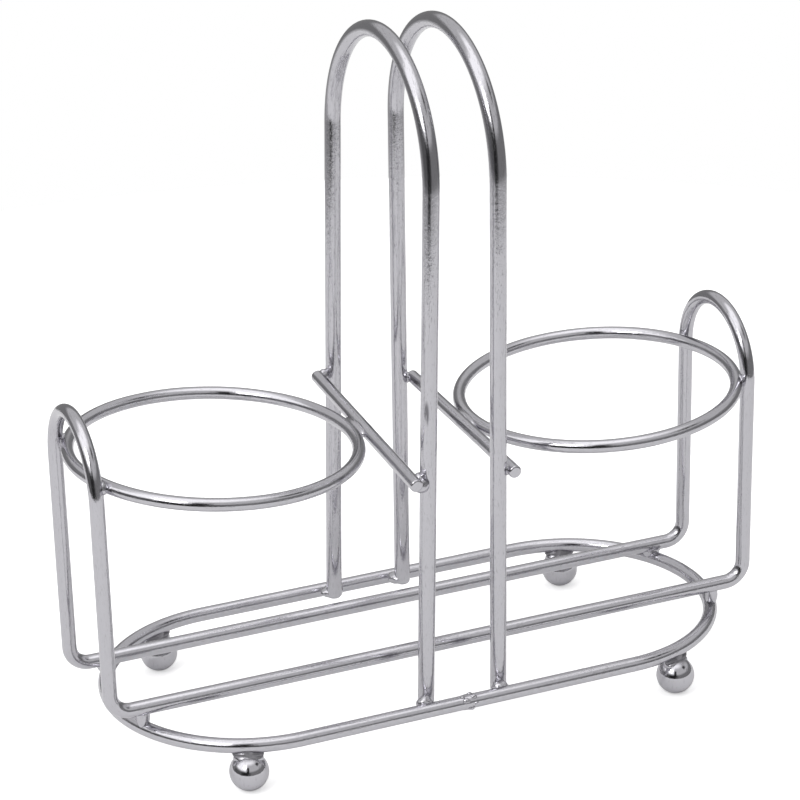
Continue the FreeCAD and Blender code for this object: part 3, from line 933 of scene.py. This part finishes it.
@dataclass
class Welds:
    """Beads, nuggets and fillets wherever two wires are welded."""

    plan: Plan = PLAN

    def corners(self) -> list[tuple[End, Side]]:
        """The four corners of the caddy."""
        return [(end, side) for end in End for side in Side]

    def rail_beads(self) -> Skin:
        """Beads between the base ring and the rails: upright in front, tucked in over the ring, flat behind."""
        p, beads = self.plan, []
        for index, (end, side) in enumerate(self.corners()):
            tuck = {(End.FRONT, Side.LEFT): 1.0, (End.FRONT, Side.RIGHT): 0.7}.get((end, side), 0.0)
            x = side.value * (p.crossing_x + tuck)
            y = end.value * (p.hairpin_half_width - tuck)
            half = (p.rail_z(end) - p.base_z) / 2
            wide = 1.6 if end is End.FRONT else 2.4
            beads.append(Lump(np.array([x, y, p.base_z + half]), np.array([wide, 1.4, half]), 0.05,
                              61 + index).skin())
            beads.append(Lump(np.array([x, y, p.rail_z(end) - 1.5]), np.array([wide + 0.5, 1.4, 1.0]), 0.05,
                              71 + index).skin())
        return Skin.merged(beads)

    def bow_nuggets(self) -> Skin:
        """Nuggets between the bow feet and the base ring: run out in front, round the leg's end behind."""
        p, beads = self.plan, []
        inner, outer = p.bow_half_width + p.bow_wire / 2, p.base_half_width - p.base_wire / 2
        shapes = {(End.FRONT, Side.LEFT): ((-1.5, 0.0, 0.4), (2.3, 1.9, 2.1)),
                  (End.FRONT, Side.RIGHT): ((-1.0, 0.0, 0.4), (2.3, 1.9, 1.6)),
                  (End.REAR, Side.LEFT): ((0.1, -1.7, 1.5), (3.0, 2.7, 1.5)),
                  (End.REAR, Side.RIGHT): ((-0.6, -1.7, 1.5), (3.0, 2.7, 1.5))}
        for index, (end, side) in enumerate(self.corners()):
            move, half = shapes[end, side]
            middle = np.array([side.value * p.bow_offset, end.value * (inner + outer) / 2, p.base_z])
            beads.append(Lump(middle + move, np.array(half), 0.07, 91 + index).skin())
        return Skin.merged(beads)

    def bar_nuggets(self) -> Skin:
        """Nuggets where a crossbar passes a bow leg, and a splash over the left one's front end."""
        p, beads = self.plan, []
        for index, (end, side) in enumerate(self.corners()):
            y = end.value * p.bow_half_width
            between = p.bar_x(side) - (p.bar_wire + p.pick(p.bar_gap, side)) / 2
            beads.append(Lump(np.array([side.value * between, y, p.bar_z(side, y)]),
                              np.array([1.4, 1.35, 1.45]), 0.06, 101 + index).skin())
        front = -p.bow_half_width - p.bow_wire / 2
        splash = np.array([1.75 - p.bar_x(Side.LEFT), front, p.bar_z(Side.LEFT, front) - 0.9])
        beads.append(Lump(splash, np.array([1.9, 1.3, 1.75]), 0.07, 107).skin())
        return Skin.merged(beads)

    def hoop_beads(self) -> Skin:
        """A fillet between each hoop and its crossbar, and a nugget at each end leg."""
        p, beads = self.plan, []
        share = p.hoop_radius / (p.hoop_radius + (p.hoop_wire + p.frame_wire) / 2)
        for side in Side:
            sign = side.value
            hoop_inside = p.hoop_x(side) - p.hoop_radius * np.cos(np.radians(p.hoop_tilt))
            at_bar = np.array([sign * (p.bar_x(side) + hoop_inside) / 2, 0, p.bar_z(side)])
            beads.append(Lump(at_bar, np.array([1.5, 5.6, 1.6]), 0.04, 111 + sign).skin())
            rise = p.leg_step * np.tan(np.radians(p.hoop_tilt))
            for end in End:
                nugget = np.array([sign * (p.hoop_x(side) + p.leg_step * (1 + share) / 2),
                                   end.value * p.hairpin_half_width * (1 + share) / 2, p.hoop_z(side) + rise])
                beads.append(Lump(nugget, np.array([1.6, 1.6, 1.6]), 0.06, 121 + sign + end.value).skin())
        return Skin.merged(beads)

    def build(self) -> None:
        """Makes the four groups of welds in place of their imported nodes."""
        for name, node, skin in (("rail_weld_beads", "rail_welds", self.rail_beads()),
                                 ("bow_weld_nuggets", "bow_welds", self.bow_nuggets()),
                                 ("crossbar_weld_nuggets", "crossbar_welds", self.bar_nuggets()),
                                 ("hoop_weld_fillets", "ring_welds", self.hoop_beads())):
            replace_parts(skin.piece(name, WELD), node)
            log.info("%s: %d points", name, len(skin.points))


@dataclass(frozen=True)
class Panel:
    """A soft-edged patch of the room as the plating sees it, bounded by azimuth and elevation.

    Azimuth runs from the front to the right and elevation up, both in degrees.
    """

    azimuth: tuple[float, float]
    elevation: tuple[float, float]
    strength: float
    soft: tuple[float, float] = (8.0, 6.0)

    def cover(self, bearing: Value, rise: Value) -> Value:
        """How far the patch covers a direction, from 0 to 1.

        Args:
            bearing: the direction's azimuth in degrees.
            rise: its elevation in degrees.

        Returns:
            The product of the four soft edges.
        """
        (left, right), (low, high), (wide, tall) = self.azimuth, self.elevation, self.soft
        return (bearing.step(left - wide / 2, left + wide / 2)
                * bearing.step(right + wide / 2, right - wide / 2)
                * rise.step(low - tall / 2, low + tall / 2)
                * rise.step(high + tall / 2, high - tall / 2))


# From the whole room to its smallest patch: bright overhead, dim band round the horizon, soft light at the
# front left, darker stretch under it, and the dark shapes in front and to the right that the balls show
ROOM = (
    Panel((-400.0, 400.0), (64.0, 100.0), 1.60, (1.0, 24.0)),
    Panel((-400.0, 400.0), (-17.0, 22.0), 0.25, (1.0, 12.0)),
    Panel((-112.0, -36.0), (26.0, 84.0), 1.60, (14.0, 7.0)),
    Panel((-116.0, -10.0), (-15.0, 18.0), 0.13, (12.0, 6.0)),
    Panel((-64.0, -26.0), (-20.5, 18.0), 0.025, (12.0, 5.0)),
    Panel((-36.0, -19.0), (10.0, 46.0), 0.025, (6.0, 8.0)),
    Panel((46.0, 74.0), (37.0, 53.0), 0.06, (10.0, 8.0)),
)


@dataclass
class Studio:
    """White table, a pale room with one soft lamp, and the photograph's camera."""

    camera_place: tuple[float, float, float] = (-257.99, -619.58, 360.8)
    yaw: float = 0.3944
    pitch: float = 0.4072
    roll: float = 0.0214
    focal_pixels: float = 3000.0
    middle_pixels: tuple[float, float] = (408.58, 420.84)
    frame_pixels: float = 800.0
    sensor: float = 36.0
    table_radius: float = 0.395
    wall: float = 0.68

    def camera(self) -> bpy.types.Object:
        """Places the camera: forward is (sin yaw cos pitch, cos yaw cos pitch, -sin pitch).

        Returns:
            The scene's camera.
        """
        data = bpy.data.cameras.new("photo_camera")
        data.sensor_width = self.sensor
        data.lens = self.focal_pixels / self.frame_pixels * self.sensor
        data.shift_x = (self.frame_pixels / 2 - self.middle_pixels[0]) / self.frame_pixels
        data.shift_y = (self.middle_pixels[1] - self.frame_pixels / 2) / self.frame_pixels
        data.clip_start, data.clip_end = 0.01, 20.0
        forward = np.array([np.sin(self.yaw) * np.cos(self.pitch), np.cos(self.yaw) * np.cos(self.pitch),
                            -np.sin(self.pitch)])
        level = np.array([np.cos(self.yaw), -np.sin(self.yaw), 0.0])
        down = np.cross(forward, level)
        right = level * np.cos(self.roll) + down * np.sin(self.roll)
        down = -level * np.sin(self.roll) + down * np.cos(self.roll)
        turn = np.eye(4)
        turn[:3, 0], turn[:3, 1], turn[:3, 2] = right, -down, -forward
        turn[:3, 3] = np.array(self.camera_place) * MM
        camera = bpy.data.objects.new("photo_camera", data)
        camera.matrix_world = Matrix(turn.tolist())
        bpy.context.scene.collection.objects.link(camera)
        bpy.context.scene.camera = camera
        return camera

    def table(self) -> bpy.types.Object:
        """A round white table top: it keeps the caddy's shadow and shows almost white to the camera."""
        mesh = bpy.data.meshes.new("white_table")
        turn = 2 * np.pi * np.arange(96) / 96
        rim = np.stack([self.table_radius * np.cos(turn), self.table_radius * np.sin(turn), 0 * turn], 1)
        mesh.from_pydata(rim.tolist(), [], [tuple(range(96))])
        material = bpy.data.materials.new("white_table")
        material.use_nodes = True
        graph = Graph(material.node_tree)
        seen = Value(graph, graph.node("ShaderNodeLightPath").outputs["Is Camera Ray"])
        board = graph.node("ShaderNodeBsdfDiffuse", None, {"Color": (0.90, 0.90, 0.90, 1.0)})
        glow = graph.node("ShaderNodeEmission", None, {"Strength": seen * 0.50})
        total = graph.node("ShaderNodeAddShader", None, {0: board.outputs[0], 1: glow.outputs[0]})
        graph.node("ShaderNodeOutputMaterial", None, {"Surface": total.outputs[0]})
        mesh.materials.append(material)
        table = bpy.data.objects.new("white_table", mesh)
        bpy.context.scene.collection.objects.link(table)
        return table

    def surround(self) -> None:
        """White to the camera; to all else a grey room with the panels of ROOM laid over each other."""
        world = bpy.data.worlds.new("studio")
        bpy.context.scene.world = world
        world.use_nodes = True
        graph = Graph(world.node_tree)
        along, depth, height = graph.split(graph.node("ShaderNodeTexCoord").outputs["Generated"])
        bearing = along.maths("ARCTAN2", -depth) * DEGREES
        rise = height.maths("ARCSINE") * DEGREES
        shade: Number = self.wall
        for panel in ROOM:
            cover = panel.cover(bearing, rise)
            shade = cover * panel.strength + (1 - cover) * shade
        seen = Value(graph, graph.node("ShaderNodeLightPath").outputs["Is Camera Ray"])
        white = graph.node("ShaderNodeBackground", None, {"Color": (1.0, 1.0, 1.0, 1.0), "Strength": 1.0})
        soft = graph.node("ShaderNodeBackground", None, {"Color": (1.0, 1.0, 1.0, 1.0), "Strength": shade})
        mixed = graph.node("ShaderNodeMixShader", None, {0: seen, 1: soft.outputs[0], 2: white.outputs[0]})
        graph.node("ShaderNodeOutputWorld", None, {"Surface": mixed.outputs[0]})

    def lamp(self, name: str, place: tuple[float, float, float], size: tuple[float, float],
             power: float) -> bpy.types.Object:
        """A soft rectangular lamp that looks at the caddy's middle.

        Args:
            name: the lamp's name.
            place: where it hangs, in metres.
            size: its width and height in metres.
            power: its power in watts.

        Returns:
            The lamp.
        """
        data = bpy.data.lights.new(name, "AREA")
        data.shape, data.size, data.size_y, data.energy = "RECTANGLE", size[0], size[1], power
        lamp = bpy.data.objects.new(name, data)
        back = unit(*(np.array(place) - [0, 0, 0.06]))
        right = unit(*np.cross([0.0, 0.0, 1.0], back))
        turn = np.eye(4)
        turn[:3, 0], turn[:3, 1], turn[:3, 2], turn[:3, 3] = right, np.cross(back, right), back, place
        lamp.matrix_world = Matrix(turn.tolist())
        bpy.context.scene.collection.objects.link(lamp)
        return lamp

    def build(self) -> None:
        """Sets up the camera, the table, the surround and the lamps."""
        self.camera()
        self.table()
        self.surround()
        self.lamp("left_softbox", (-0.62, -0.42, 0.72), (0.3, 0.3), 1.9)
        view = bpy.context.scene.view_settings
        view.view_transform = "Standard"
        log.info("studio ready")


def main() -> None:
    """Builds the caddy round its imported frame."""
    logging.basicConfig(level=logging.INFO, format="%(name)s: %(message)s")
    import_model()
    Base().build()
    FrameWire().build()
    for side in Side:
        Handle(side).build()
        Hoop(side).build()
    Welds().build()
    Studio().build()
    log.info("boxes written")


if __name__ == "__main__":
    main()
